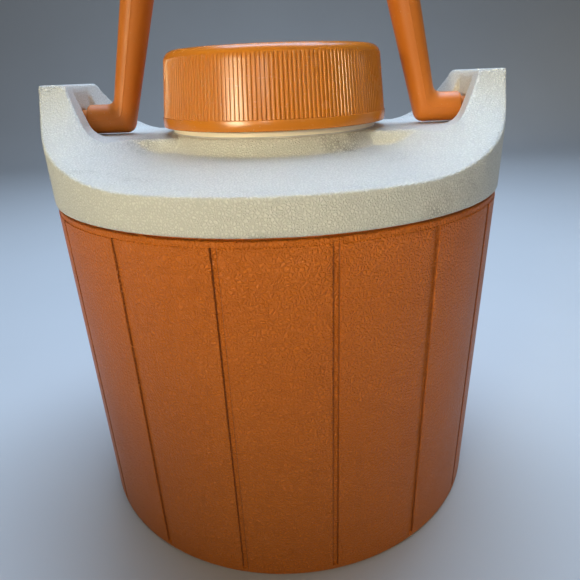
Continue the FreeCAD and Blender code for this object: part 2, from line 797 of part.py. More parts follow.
def make_cap_inner():
    """Shallow inner cup of the cap: it carries the gasket and closes the cap's foam in."""
    roof = "dims.cap_top - dims.cap_top_wall - dims.small_gap"
    floor = "dims.neck_top + 1.4"
    cup = "dims.neck_radius - 2.6"
    return revolved_body("cap_inner_cup", [
        ("0", floor),
        ("dims.cap_skirt_inner_radius - 0.4", floor),
        ("dims.cap_skirt_inner_radius - 0.4", floor + " + 1.6"),
        (cup + " + 1.6", floor + " + 1.6"),
        (cup + " + 1.6", roof),
        (cup, roof),
        (cup, floor + " + 1.6"),
        ("0", floor + " + 1.6"),
    ])


def make_cap_foam():
    """Foam disc inside the cap."""
    roof = "dims.cap_top - dims.cap_top_wall - dims.small_gap"
    floor = "dims.neck_top + 3.0 + dims.small_gap"
    edge = "dims.neck_radius - 2.6 - dims.small_gap"
    return revolved_body("cap_foam", [("0", floor), (edge, floor), (edge, roof), ("0", roof)])


def make_cap_gasket():
    """Flat rubber ring that seals the cup against the neck's rim."""
    low = "dims.neck_top + 0.02"
    high = "dims.neck_top + 1.35"
    return revolved_body("cap_gasket", [
        ("dims.neck_radius - 4.0", low),
        ("dims.cap_skirt_inner_radius - 1.0", low),
        ("dims.cap_skirt_inner_radius - 1.0", high),
        ("dims.neck_radius - 4.0", high),
    ])


# ---------------------------------------------------------------- check and write

def check_document():
    """Stop if any object is invalid or in error."""
    for item in DOCUMENT.Objects:
        if "Invalid" in item.State or "Error" in item.State:
            raise ValueError("%s is %s" % (item.Label, item.State))


def write_parts(pieces):
    """Check each sub-part's shape and write it to parts/LABEL.step."""
    os.makedirs("parts", exist_ok=True)
    for piece in pieces:
        shape = piece.Shape
        if shape.isNull() or not shape.isValid():
            raise ValueError("bad shape: " + piece.Label)
        box = shape.BoundBox
        print("%-16s solids %d volume %.0f mm3 x %.1f..%.1f y %.1f..%.1f z %.1f..%.1f" % (
            piece.Label, len(shape.Solids), shape.Volume, box.XMin, box.XMax, box.YMin, box.YMax,
            box.ZMin, box.ZMax))
        shape.exportStep("parts/%s.step" % piece.Label)


def main():
    pieces = [
        make_jacket(),
        make_plug(),
        make_foam(),
        make_vessel(),
        make_neck_gasket(),
        make_shoulder(),
        make_handle(),
        make_cap_shell(),
        make_cap_inner(),
        make_cap_foam(),
        make_cap_gasket(),
    ]
    DOCUMENT.recompute()
    check_document()
    write_parts(pieces)


main()
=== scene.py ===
import json
import math

import bmesh
import bpy
import numpy as np
from mathutils import Matrix, Vector


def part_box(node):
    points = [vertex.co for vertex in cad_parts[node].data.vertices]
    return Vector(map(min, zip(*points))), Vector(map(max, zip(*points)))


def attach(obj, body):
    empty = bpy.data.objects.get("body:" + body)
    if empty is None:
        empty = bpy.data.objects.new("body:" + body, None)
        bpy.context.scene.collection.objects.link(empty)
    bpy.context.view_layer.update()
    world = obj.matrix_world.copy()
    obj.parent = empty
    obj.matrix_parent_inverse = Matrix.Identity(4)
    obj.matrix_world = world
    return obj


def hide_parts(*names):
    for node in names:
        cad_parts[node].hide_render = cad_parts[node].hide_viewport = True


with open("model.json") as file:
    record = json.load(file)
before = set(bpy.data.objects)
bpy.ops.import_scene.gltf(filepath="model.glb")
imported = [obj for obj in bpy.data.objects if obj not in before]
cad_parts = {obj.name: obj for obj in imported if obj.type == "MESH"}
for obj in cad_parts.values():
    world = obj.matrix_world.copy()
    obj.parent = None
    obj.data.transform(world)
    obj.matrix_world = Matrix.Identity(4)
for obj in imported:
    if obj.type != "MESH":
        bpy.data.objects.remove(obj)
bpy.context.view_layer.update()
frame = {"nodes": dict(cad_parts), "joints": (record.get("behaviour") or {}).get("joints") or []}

MM = 0.001
TAU = 2 * math.pi

# Heights and radii below are in millimetres, as in the CAD source.
COLLAR_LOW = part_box("shoulder")[0].z / MM
CAP_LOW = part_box("cap_shell")[0].z / MM
CAP_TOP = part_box("cap_shell")[1].z / MM
PIVOT = next(j for j in frame["joints"] if j["name"] == "handle_hinge")["pos_m"][2] / MM

# ---------------------------------------------------------------- camera

FIT_RADIUS = 107.0          # the camera fit's unit of length
CAMERA_BACK = 2.46234       # distance in front of the jug's axis, in fit units
CAMERA_HEIGHT = 1.95781     # height above the floor, in fit units
CAMERA_PITCH = 0.40512      # radians below the horizon
CAMERA_YAW = 0.01645
CAMERA_ROLL = -0.03863
CAMERA_TURN = math.radians(1.065)   # how far the camera stands round the jug from its front
CAMERA_LENS = 30.97


def make_camera():
    """The camera at the photograph's viewing angle."""
    cos_pitch = math.cos(CAMERA_PITCH)
    forward = Vector((math.sin(CAMERA_YAW) * cos_pitch, math.cos(CAMERA_YAW) * cos_pitch,
                      -math.sin(CAMERA_PITCH)))
    level_right = Vector((math.cos(CAMERA_YAW), -math.sin(CAMERA_YAW), 0))
    level_up = level_right.cross(forward)
    right = math.cos(CAMERA_ROLL) * level_right + math.sin(CAMERA_ROLL) * level_up
    up = math.cos(CAMERA_ROLL) * level_up - math.sin(CAMERA_ROLL) * level_right
    turn = Matrix((right, up, -forward)).transposed().to_4x4()
    place = Matrix.Translation(Vector((0, -CAMERA_BACK, CAMERA_HEIGHT)) * FIT_RADIUS * MM)
    data = bpy.data.cameras.new("camera")
    data.lens = CAMERA_LENS
    data.sensor_width = 36.0
    data.clip_start = 0.01
    camera = bpy.data.objects.new("camera", data)
    camera.matrix_world = Matrix.Rotation(CAMERA_TURN, 4, "Z") @ place @ turn
    bpy.context.scene.collection.objects.link(camera)
    bpy.context.scene.camera = camera


# ---------------------------------------------------------------- mesh helpers

def new_object(name, points, faces, sharp_angle=32.0):
    """An object from points in millimetres, shaded smooth except at sharp edges."""
    mesh = bpy.data.meshes.new(name)
    mesh.from_pydata((np.asarray(points, float) * MM).tolist(), [], faces)
    mesh.validate()
    clean = bmesh.new()
    clean.from_mesh(mesh)
    bmesh.ops.recalc_face_normals(clean, faces=clean.faces)
    clean.to_mesh(mesh)
    clean.free()
    mesh.shade_smooth()
    mesh.set_sharp_from_angle(angle=math.radians(sharp_angle))
    made = bpy.data.objects.new(name, mesh)
    bpy.context.scene.collection.objects.link(made)
    return made


def ring_faces(rings, count, closed_rings, offset=0):
    """Quads between rings of points; the last ring joins the first if closed_rings."""
    faces = []
    spans = rings if closed_rings else rings - 1
    for ring in range(spans):
        low = offset + ring * count
        high = offset + ((ring + 1) % rings) * count
        for step in range(count):
            following = (step + 1) % count
            faces.append((low + step, low + following, high + following, high + step))
    return faces


def arc_points(centre, radius, start, end, steps):
    """Points (radius, height) on an arc, from angle start to angle end in degrees."""
    angles = [math.radians(start + (end - start) * step / steps) for step in range(steps + 1)]
    return [(centre[0] + radius * math.cos(a), centre[1] + radius * math.sin(a)) for a in angles]


def smooth(value):
    share = min(max(value, 0.0), 1.0)
    return share * share * (3 - 2 * share)


# ---------------------------------------------------------------- jacket

JACKET_BASE_RADIUS = 105.4
JACKET_TOP_RADIUS = 106.6
JACKET_HEIGHT = COLLAR_LOW - 1.0
PANEL_TOP = 157.4
PANEL_STEP = 0.4
PANEL_ROUND = 0.35
GROOVES = 16
GROOVE_HALF_WIDTH = 1.3
GROOVE_EDGE_ROUND = 0.35
GROOVE_DEPTH = 0.9
GROOVE_LOW = 3.0
FOOT_ROUND = 1.6
FOOT_INNER_RADIUS = 94.0
BASE_RECESS = 2.5
JACKET_WALL = 2.4
LIP_RADIUS = 103.6
LIP_WALL = 2.0
LIP_TOP = 166.0
PLUG_HOLE_RADIUS = 8.0
FLOOR_TOP = BASE_RECESS + JACKET_WALL + 0.2
FOOT_RING_RISE = 0.25       # the foot ring's inner corner, blunted over this height
FOOT_RING_BLUNT = 0.4       # and over this much radius to each side
FOOT_STEPS = 7
GROOVE_FLOOR_SHARE = 0.6    # how far across the groove's flat floor one extra line of points runs
GROOVE_FLOOR_EDGE = GROOVE_HALF_WIDTH - 0.28
GROOVE_EDGE_STEPS = 4
GROOVE_EDGE_SHARE = 0.285   # share of the depth that lies in the rounded edge
# (distance from the floor's edge, share of the depth) up a groove's wall
GROOVE_WALL = ((0.0, 0.97), (0.08, 0.86), (0.24, 0.36))
# (height above the groove's foot, share of the depth) where a groove begins
GROOVE_START = ((-0.15, 0), (0.0, 0.12), (0.15, 0.5), (0.35, 0.82), (0.7, 0.97), (1.2, 1.0))
WALL_SHADE_SHARES = (0.25, 0.99)     # depth shares between which a groove's wall carries painted shade
PANEL_STEPS = 9             # points across a panel
PANEL_ROWS = 22             # rows up a panel
PANEL_ROUND_STEPS = 5
PANEL_ROWS_LOW = GROOVE_LOW + 6
PANEL_ROWS_HIGH = PANEL_TOP - 3


def jacket_radius(height):
    return JACKET_BASE_RADIUS + (JACKET_TOP_RADIUS - JACKET_BASE_RADIUS) * height / JACKET_HEIGHT


def groove_section():
    """(distance round the jacket, depth share) across one groove, from its middle outwards."""
    section = [(0.0, 1.0), (GROOVE_FLOOR_EDGE * GROOVE_FLOOR_SHARE, 1.0)]
    section += [(GROOVE_FLOOR_EDGE + run, share) for run, share in GROOVE_WALL]
    for step in range(GROOVE_EDGE_STEPS + 1):
        angle = math.radians(90 * step / GROOVE_EDGE_STEPS)
        run = GROOVE_EDGE_ROUND * (1 - math.cos(angle))
        section.append((GROOVE_HALF_WIDTH + run, GROOVE_EDGE_SHARE * (1 - math.sin(angle))))
    return section


def jacket_angles():
    """Angles round the jacket with the groove depth share at each, dense at the grooves."""
    half = groove_section()
    across = [(-run, share) for run, share in reversed(half[1:])] + half
    pitch = TAU / GROOVES
    edge = half[-1][0] / JACKET_TOP_RADIUS
    gap = pitch - 2 * edge
    angles = []
    for groove in range(GROOVES):
        centre = (groove + 0.5) * pitch - math.pi / 2
        angles += [(centre + run / JACKET_TOP_RADIUS, share) for run, share in across]
        angles += [(centre + edge + gap * step / PANEL_STEPS, 0.0) for step in range(1, PANEL_STEPS)]
    return angles


def foot_stations():
    """(radius, height, groove share) from the plug's hole out to the rounded foot."""
    stations = [(PLUG_HOLE_RADIUS, BASE_RECESS, 0), (40, BASE_RECESS, 0), (80, BASE_RECESS, 0)]
    stations += [(FOOT_INNER_RADIUS - 3, BASE_RECESS, 0)]
    stations += [(FOOT_INNER_RADIUS - FOOT_RING_BLUNT, FOOT_RING_RISE, 0)]
    stations += [(FOOT_INNER_RADIUS + FOOT_RING_BLUNT, 0.0, 0)]
    foot = arc_points((JACKET_BASE_RADIUS - FOOT_ROUND, FOOT_ROUND), FOOT_ROUND, -90, 0, FOOT_STEPS)
    return stations + [(radius, height, 0) for radius, height in foot]


def panel_stations():
    """Up the panels, from the foot of the grooves to the panels' rounded top edge."""
    stations = [(jacket_radius(GROOVE_LOW + rise), GROOVE_LOW + rise, share) for rise, share in GROOVE_START]
    for row in range(PANEL_ROWS + 1):
        height = PANEL_ROWS_LOW + (PANEL_ROWS_HIGH - PANEL_ROWS_LOW) * row / PANEL_ROWS
        stations.append((jacket_radius(height), height, 1.0))
    for step in range(PANEL_ROUND_STEPS + 1):
        angle = math.radians(90 * step / PANEL_ROUND_STEPS)
        height = PANEL_TOP - PANEL_ROUND + PANEL_ROUND * math.sin(angle)
        inset = PANEL_ROUND * (1 - math.cos(angle))
        stations.append((jacket_radius(height) - inset, height, 1.0))
    return stations


def rim_stations():
    """The plain band above the panels, the lip inside the collar, and the wall's inner side."""
    band = jacket_radius(PANEL_TOP) - PANEL_STEP
    inner_lip = LIP_RADIUS - LIP_WALL
    ledge = JACKET_HEIGHT - 5
    stations = [(band, PANEL_TOP + 0.12, 0), (band, PANEL_TOP + 0.6, 0), (band, JACKET_HEIGHT - 0.3, 0)]
    stations += [(band - 0.3, JACKET_HEIGHT, 0), (LIP_RADIUS, JACKET_HEIGHT, 0), (LIP_RADIUS, LIP_TOP, 0)]
    stations += [(inner_lip, LIP_TOP, 0), (inner_lip, JACKET_HEIGHT - 2, 0)]
    stations += [(jacket_radius(height) - JACKET_WALL, height, 0) for height in (ledge, 80, FLOOR_TOP)]
    return stations + [(60, FLOOR_TOP, 0), (PLUG_HOLE_RADIUS, FLOOR_TOP, 0)]


def make_jacket():
    """Grooved outer jacket, closed section turned about the axis with the grooves pressed in."""
    angles = jacket_angles()
    stations = foot_stations() + panel_stations() + rim_stations()
    low, high = WALL_SHADE_SHARES
    points = []
    wall = []
    for radius, height, share in stations:
        for angle, depth in angles:
            reach = radius - GROOVE_DEPTH * share * depth
            points.append((reach * math.cos(angle), reach * math.sin(angle), height))
            # points on a groove's wall are marked for painted shade in the material
            wall.append(share if low < depth < high else 0.0)
    faces = ring_faces(len(stations), len(angles), True)
    made = new_object("jacket_visual", points, faces)
    made.data.attributes.new("groove_wall_shade", "FLOAT", "POINT").data.foreach_set("value", wall)
    return made


# ---------------------------------------------------------------- cap

CAP_BAND_RADIUS = 54.1
CAP_BAND_TOP = 193.6
CAP_FOOT_CREST = 53.7
CAP_HEAD_CREST = 50.9
CAP_RIB_TOP = 218.6
CAP_RIBS = 180
CAP_RIB_DEPTH = 0.55
CAP_EDGE_ROUND = 4.8
CAP_SKIRT_INNER = 49.3
CAP_TOP_WALL = 2.3
CAP_CHAMFER_RUN = 2.4
CAP_CHAMFER_DROP = 4.6
CAP_MIDDLE = 0.6            # radius of the smallest ring, round the roof's middle point
CAP_EDGE_STEPS = 14
CAP_RIB_FADE = 0.9          # height over which the ribs run out at the top
CAP_RIB_ROWS = 12
CAP_FOOT_ROUND = 0.5
THREAD_CREST = 46.9
THREAD_START = 197.4
THREAD_PITCH = 8.0
THREAD_TURNS = 1.5
THREAD_HALF_HEIGHT = 0.95
THREAD_CREST_SHARE = 0.55   # half height at the crest, as a share of that at the root
THREAD_BURIED = 0.6         # how far the ridge reaches into the wall
THREAD_RUN_OUT = 14         # the ridge grows to its full height over a fourteenth of its length
THREAD_LEAST = 0.05         # share of the height left at its very ends
THREAD_STEPS = 220
# (share of a rib's width, share of the full depth) across one rib: valley, rounded flanks and a flat crest
RIB_SECTION = ((0.0, 1.0), (0.11, 1.0), (0.16, 0.8), (0.23, 0.16), (0.28, 0.03), (0.34, 0.0),
               (0.66, 0.0), (0.72, 0.03), (0.77, 0.16), (0.84, 0.8), (0.89, 1.0))


def crest_radius(height):
    share = (height - CAP_BAND_TOP) / (CAP_RIB_TOP - CAP_BAND_TOP)
    return CAP_FOOT_CREST + (CAP_HEAD_CREST - CAP_FOOT_CREST) * share


def cap_outside():
    """(radius, height, rib share) from the roof's middle down the ribbed side and over the band."""
    corner = crest_radius(CAP_TOP)
    lean = math.degrees(math.atan2(CAP_FOOT_CREST - CAP_HEAD_CREST, CAP_RIB_TOP - CAP_BAND_TOP))
    setback = CAP_EDGE_ROUND * math.tan(math.radians((90 - lean) / 2))
    centre = (corner - setback, CAP_TOP - CAP_EDGE_ROUND)
    stations = [(CAP_MIDDLE, CAP_TOP, 0), (15, CAP_TOP, 0), (30, CAP_TOP, 0)]
    edge = arc_points(centre, CAP_EDGE_ROUND, 90, lean, CAP_EDGE_STEPS)
    for radius, height in edge:
        stations.append((radius, height, 1.0 - smooth((height - CAP_RIB_TOP + CAP_RIB_FADE) / CAP_RIB_FADE)))
    low = CAP_BAND_TOP + 0.05
    high = edge[-1][1]
    for row in range(1, CAP_RIB_ROWS + 1):
        height = high + (low - high) * row / CAP_RIB_ROWS
        stations.append((crest_radius(height), height, 1.0))
    stations += [(CAP_BAND_RADIUS - 0.25, CAP_BAND_TOP, 0), (CAP_BAND_RADIUS - 0.07, CAP_BAND_TOP - 0.1, 0)]
    stations += [(CAP_BAND_RADIUS, CAP_BAND_TOP - 0.3, 0), (CAP_BAND_RADIUS, CAP_LOW + 1.5, 0)]
    return stations


def cap_inside():
    """(radius, height, rib share) round the band's foot, up the skirt and in under the roof."""
    centre = (CAP_BAND_RADIUS - CAP_FOOT_ROUND, CAP_LOW + CAP_FOOT_ROUND)
    stations = [(radius, height, 0) for radius, height in arc_points(centre, CAP_FOOT_ROUND, 0, -90, 4)]
    ceiling = CAP_TOP - CAP_TOP_WALL
    stations += [(CAP_SKIRT_INNER + 0.5, CAP_LOW, 0), (CAP_SKIRT_INNER, CAP_LOW + 0.5, 0)]
    stations += [(CAP_SKIRT_INNER, ceiling - CAP_CHAMFER_DROP, 0)]
    return stations + [(CAP_SKIRT_INNER - CAP_CHAMFER_RUN, ceiling, 0), (CAP_MIDDLE, ceiling, 0)]


def thread_section(crest, height):
    """The blunt ridge's section at one point of the helix, as (radius, height) pairs."""
    half = THREAD_HALF_HEIGHT
    flat_half = half * THREAD_CREST_SHARE
    root = CAP_SKIRT_INNER
    return [(root + THREAD_BURIED, height - half), (root, height - half), (crest, height - flat_half),
            (crest, height + flat_half), (root, height + half), (root + THREAD_BURIED, height + half)]


def thread_mesh():
    """Points and faces of a closed helical ridge whose two ends run out into the wall."""
    points = []
    for step in range(THREAD_STEPS + 1):
        share = step / THREAD_STEPS
        angle = TAU * THREAD_TURNS * share
        height = THREAD_START + THREAD_PITCH * THREAD_TURNS * share
        fade = THREAD_LEAST + (1 - THREAD_LEAST) * smooth(min(share, 1 - share) * THREAD_RUN_OUT)
        crest = CAP_SKIRT_INNER + (THREAD_CREST - CAP_SKIRT_INNER) * fade
        for radius, level in thread_section(crest, height):
            points.append((radius * math.cos(angle), radius * math.sin(angle), level))
    count = len(thread_section(0, 0))
    faces = ring_faces(THREAD_STEPS + 1, count, False)
    faces.append(tuple(range(count)))
    faces.append(tuple(reversed(range(THREAD_STEPS * count, (THREAD_STEPS + 1) * count))))
    return points, faces


def make_cap():
    """Ribbed cap with its rounded top edge, plain band and internal thread."""
    stations = cap_outside() + cap_inside()
    count = CAP_RIBS * len(RIB_SECTION)
    shape = [(rib + across, depth) for rib in range(CAP_RIBS) for across, depth in RIB_SECTION]
    points = []
    for radius, height, share in stations:
        for turn, depth in shape:
            angle = turn / CAP_RIBS * TAU
            reach = radius - CAP_RIB_DEPTH * share * depth
            points.append((reach * math.cos(angle), reach * math.sin(angle), height))
    faces = ring_faces(len(stations), count, False)
    top = len(points)
    points.append((0, 0, CAP_TOP))
    points.append((0, 0, CAP_TOP - CAP_TOP_WALL))
    last = (len(stations) - 1) * count
    for step in range(count):
        following = (step + 1) % count
        faces.append((top, following, step))
        faces.append((top + 1, last + step, last + following))
    ridge, ridge_faces = thread_mesh()
    start = len(points)
    points += ridge
    faces += [tuple(start + index for index in face) for face in ridge_faces]
    return new_object("cap_visual", points, faces, 40.0)


# ---------------------------------------------------------------- handle

STUB_RADIUS = 6.8
STUB_END = 91.4
PIN_RADIUS = 4.5
PIN_END = 99.8
ELBOW_CENTRE = 74.4
ARM_LEAN = math.radians(15.2)
ARM_WIDTH = 11.7
ARM_TOP_WIDTH = 17.0
GRIP_HEIGHT = 292.0
GRIP_THICKNESS = 17.0
GRIP_DEPTH = 23.0
ELBOW_ROUND = 4.5
ELBOW_INNER_ROUND = 5.5
CORNER_ROUND = 13.0
CORNER_INNER_ROUND = 5.0
SEAM_HEIGHT = 0.13
SEAM_ANGLE = math.radians(2.6)
SEAM_SIDES = (TAU / 4, 3 * TAU / 4)     # the front and the back of a section
PIN_TIP = 0.4               # radius of the smallest section, at the pin's end
PIN_CHAMFER = 0.7
STUB_ROUND = 1.2
STUB_ROUND_STEPS = 5
CORNER_DEPTH = GRIP_DEPTH - 3
SECTION_POINTS = 56


def flat(x, z):
    return Vector((x, 0, z))


def line_meet(point_a, way_a, point_b, way_b):
    """Where two lines in the XZ plane meet."""
    cross = way_a.x * way_b.z - way_a.z * way_b.x
    gap = point_b - point_a
    return point_a + way_a * ((gap.x * way_b.z - gap.z * way_b.x) / cross)


def bend_point(corner, into, out_of, setback, share):
    start = corner - into * setback
    end = corner + out_of * setback
    return start * (1 - share) ** 2 + corner * (2 * share * (1 - share)) + end * share ** 2


def bend(inner, outer, into, out_of, inner_round, outer_round, depths, steps=12):
    """Sections (inner point, outer point, depth) fanned round a bend."""
    setback = math.tan(math.acos(into.dot(out_of)) / 2)
    fan = []
    for step in range(steps + 1):
        share = step / steps
        fan.append((bend_point(inner, into, out_of, inner_round * setback, share),
                    bend_point(outer, into, out_of, outer_round * setback, share),
                    depths[0] + (depths[1] - depths[0]) * share))
    return fan


def between(first, second, steps):
    """Sections evenly spaced between two sections, without the two themselves."""
    made = []
    for step in range(1, steps):
        share = step / steps
        made.append(tuple(a + (b - a) * share for a, b in zip(first, second)))
    return made


def round_section(x, radius):
    return (flat(x, PIVOT - radius), flat(x, PIVOT + radius), 2 * radius)


def pin_and_stub():
    """Sections of the pin with its chamfered end, and of the stub's rounded shoulder."""
    sections = [round_section(PIN_END, PIN_TIP), round_section(PIN_END, PIN_RADIUS - PIN_CHAMFER)]
    sections += [round_section(PIN_END - PIN_CHAMFER, PIN_RADIUS), round_section(STUB_END + 0.02, PIN_RADIUS)]
    for step in range(1, STUB_ROUND_STEPS + 1):
        angle = math.radians(90 * step / STUB_ROUND_STEPS)
        sections.append(round_section(STUB_END - STUB_ROUND + STUB_ROUND * math.cos(angle),
                                      STUB_RADIUS - STUB_ROUND + STUB_ROUND * math.sin(angle)))
    return sections


def handle_half():
    """Sections of one half of the bail, from the pin's end to the middle of the grip."""
    across = Vector((-1, 0, 0))
    arm_way = Vector((-math.sin(ARM_LEAN), 0, math.cos(ARM_LEAN)))
    arm_out = Vector((math.cos(ARM_LEAN), 0, math.sin(ARM_LEAN)))
    elbow = flat(ELBOW_CENTRE, PIVOT)
    arm_end = elbow + arm_way * ((GRIP_HEIGHT - PIVOT) / math.cos(ARM_LEAN))
    outside = (elbow + arm_out * ARM_WIDTH / 2, arm_end + arm_out * ARM_TOP_WIDTH / 2)
    inside = (elbow - arm_out * ARM_WIDTH / 2, arm_end - arm_out * ARM_TOP_WIDTH / 2)
    out_way = (outside[1] - outside[0]).normalized()
    in_way = (inside[1] - inside[0]).normalized()
    grip_top = flat(0, GRIP_HEIGHT + GRIP_THICKNESS / 2)
    grip_low = flat(0, GRIP_HEIGHT - GRIP_THICKNESS / 2)
    elbow_low = line_meet(flat(0, PIVOT - STUB_RADIUS), across, inside[0], in_way)
    elbow_high = line_meet(flat(0, PIVOT + STUB_RADIUS), across, outside[0], out_way)
    corner_high = line_meet(outside[0], out_way, grip_top, across)
    corner_low = line_meet(inside[0], in_way, grip_low, across)
    stub_depth = 2 * STUB_RADIUS
    lower = bend(elbow_low, elbow_high, across, arm_way, ELBOW_INNER_ROUND, ELBOW_ROUND,
                 (stub_depth, stub_depth))
    upper = bend(corner_low, corner_high, arm_way, across, CORNER_INNER_ROUND, CORNER_ROUND,
                 (CORNER_DEPTH, CORNER_DEPTH))
    middle = (grip_low, grip_top, GRIP_DEPTH)
    sections = pin_and_stub()
    sections += between(sections[-1], lower[0], 5) + lower
    sections += between(lower[-1], upper[0], 24) + upper
    sections += between(upper[-1], middle, 12)
    return sections + [middle]


def section_angles():
    """Angles round a section, with closely spaced ones at the two moulded seams."""
    plain = [TAU * step / SECTION_POINTS for step in range(SECTION_POINTS)]
    seams = [side + SEAM_ANGLE * part for side in SEAM_SIDES for part in (-1, -0.5, 0.5, 1)]
    return sorted(plain + seams)


def section_ring(inner, outer, depth, angles, seam):
    """Points round one oval section, with a low ridge at front and back."""
    centre = (inner + outer) * 0.5
    arm = (outer - inner) * 0.5
    ring = []
    for angle in angles:
        lift = 0.0
        for side in SEAM_SIDES:
            lift = max(lift, 1 - abs(angle - side) / SEAM_ANGLE)
        half_depth = depth / 2 + seam * SEAM_HEIGHT * lift
        ring.append(tuple(centre + arm * math.cos(angle) + Vector((0, half_depth * math.sin(angle), 0))))
    return ring


def make_handle():
    """Bail handle in one moulding, with the seam of the mould along its front and back."""
    half = handle_half()
    mirrored = [(flat(-a.x, a.z), flat(-b.x, b.z), depth) for a, b, depth in reversed(half[:-1])]
    sections = half + mirrored
    angles = section_angles()
    points = []
    for inner, outer, depth in sections:
        seam = 1.0 if depth > 2 * STUB_RADIUS - 0.5 else 0.0
        points += section_ring(inner, outer, depth, angles, seam)
    count = len(angles)
    faces = ring_faces(len(sections), count, False)
    faces.append(tuple(reversed(range(count))))
    faces.append(tuple(range((len(sections) - 1) * count, len(sections) * count)))
    return new_object("handle_visual", points, faces, 38.0)


# ---------------------------------------------------------------- shoulder

SHOULDER_VOXEL = 0.75
SHOULDER_SMOOTHING = 9
WELD_DISTANCE = 0.01        # corners of the CAD mesh nearer than this are one point


def apply_modifiers(made):
    """Replace an object's mesh with what its modifiers give."""
    graph = bpy.context.evaluated_depsgraph_get()
    mesh = bpy.data.meshes.new_from_object(made.evaluated_get(graph))
    made.modifiers.clear()
    made.data = mesh


def make_shoulder():
    """Shoulder moulding: the CAD form rebuilt as an even mesh, its edges softened as a moulding's are."""
    mesh = frame["nodes"]["shoulder"].data.copy()
    weld = bmesh.new()
    weld.from_mesh(mesh)
    bmesh.ops.remove_doubles(weld, verts=weld.verts, dist=WELD_DISTANCE * MM)
    weld.to_mesh(mesh)
    weld.free()
    mesh.materials.clear()
    made = bpy.data.objects.new("shoulder_visual", mesh)
    bpy.context.scene.collection.objects.link(made)
    remesh = made.modifiers.new("even", "REMESH")
    remesh.mode = "VOXEL"
    remesh.voxel_size = SHOULDER_VOXEL * MM
    soften = made.modifiers.new("soften", "SMOOTH")
    soften.factor = 0.5
    soften.iterations = SHOULDER_SMOOTHING
    apply_modifiers(made)
    made.data.shade_smooth()
    return made


# ---------------------------------------------------------------- materials

WALL_SHADE = 0.62            # how much painted shade darkens the grooves' walls
SMOOTH_SPECULAR = 0.38
COAT_ROUGHNESS = 0.12
WAVE_MM = 0.02              # depth of the faint waves in smooth plastic
SCRATCH = 0.5               # strength of its hairline scratches

def add_node(tree, kind, inputs=None, **settings):
    """A shader node; each input is a number, a colour or another node's output."""
    node = tree.nodes.new(kind)
    for name, value in settings.items():
        setattr(node, name, value)
    for key, value in (inputs or {}).items():
        target = node.inputs[key]
        if isinstance(value, bpy.types.NodeSocket):
            tree.links.new(value, target)
        else:
            target.default_value = value
    return node


def math_node(tree, operation, first, second=0.0):
    node = add_node(tree, "ShaderNodeMath", {0: first, 1: second}, operation=operation)
    return node.outputs[0]


def ramp(tree, value, low, high):
    """0 below low, 1 above high, smooth between."""
    node = add_node(tree, "ShaderNodeMapRange", {"Value": value, "From Min": low, "From Max": high},
                    interpolation_type="SMOOTHSTEP", clamp=True)
    return node.outputs["Result"]


def noise(tree, where, scale, detail=3.0, roughness=0.55):
    node = add_node(tree, "ShaderNodeTexNoise", {"Vector": where, "Scale": scale, "Detail": detail,
                                                 "Roughness": roughness})
    return node.outputs["Fac"]


def cells(tree, where, size_mm, feature):
    inputs = {"Vector": where, "Scale": 1 / (size_mm * MM)}
    node = add_node(tree, "ShaderNodeTexVoronoi", inputs, feature=feature)
    return node.outputs["Distance"]


def stretched(tree, where, factors):
    return add_node(tree, "ShaderNodeVectorMath", {0: where, 1: factors}, operation="MULTIPLY").outputs[0]


def mix_colour(tree, share, first, second):
    """Mix two colours; each is a colour or another node's output."""
    node = add_node(tree, "ShaderNodeMix", data_type="RGBA")
    for position, value in ((0, share), (6, first), (7, second)):
        if isinstance(value, bpy.types.NodeSocket):
            tree.links.new(value, node.inputs[position])
        else:
            node.inputs[position].default_value = value
    return node.outputs[2]


def colour(red, green, blue):
    return (red, green, blue, 1.0)


def new_material(name):
    """An empty material with its tree, shader and the object's own coordinates."""
    material = bpy.data.materials.new(name)
    material.use_nodes = True
    tree = material.node_tree
    shader = next(node for node in tree.nodes if node.type == "BSDF_PRINCIPLED")
    where = add_node(tree, "ShaderNodeTexCoord").outputs["Object"]
    return material, tree, shader, where


def bumped(tree, shader, height, distance_mm):
    bump = add_node(tree, "ShaderNodeBump", {"Distance": distance_mm * MM, "Height": height})
    tree.links.new(bump.outputs["Normal"], shader.inputs["Normal"])


def leather_height(tree, where, cell_mm):
    """Height of a moulded leather grain: cushions between creases, with finer wrinkles on top."""
    wobble = add_node(tree, "ShaderNodeTexNoise",
                      {"Vector": where, "Scale": 0.45 / (cell_mm * MM), "Detail": 2.0})
    shift = add_node(tree, "ShaderNodeVectorMath", {0: wobble.outputs["Color"], 1: (0.5, 0.5, 0.5)},
                     operation="SUBTRACT").outputs[0]
    scaled = add_node(tree, "ShaderNodeVectorMath", {0: shift, "Scale": cell_mm * MM * 1.6},
                      operation="SCALE").outputs[0]
    warped = add_node(tree, "ShaderNodeVectorMath", {0: where, 1: scaled}, operation="ADD").outputs[0]
    cushions = ramp(tree, cells(tree, warped, cell_mm, "DISTANCE_TO_EDGE"), 0.0, 0.30)
    small = ramp(tree, cells(tree, warped, cell_mm * 0.45, "DISTANCE_TO_EDGE"), 0.0, 0.35)
    fine = noise(tree, warped, 3.0 / (cell_mm * MM), 3.0)
    height = math_node(tree, "MULTIPLY", cushions, 0.58)
    height = math_node(tree, "ADD", height, math_node(tree, "MULTIPLY", small, 0.22))
    return math_node(tree, "ADD", height, math_node(tree, "MULTIPLY", fine, 0.35)), cushions


def specks(tree, where, size_mm, rarity):
    """1 at sparse small spots, 0 elsewhere."""
    spots = noise(tree, where, 1 / (size_mm * MM), 1.0, 0.4)
    return ramp(tree, spots, rarity, rarity + 0.03)


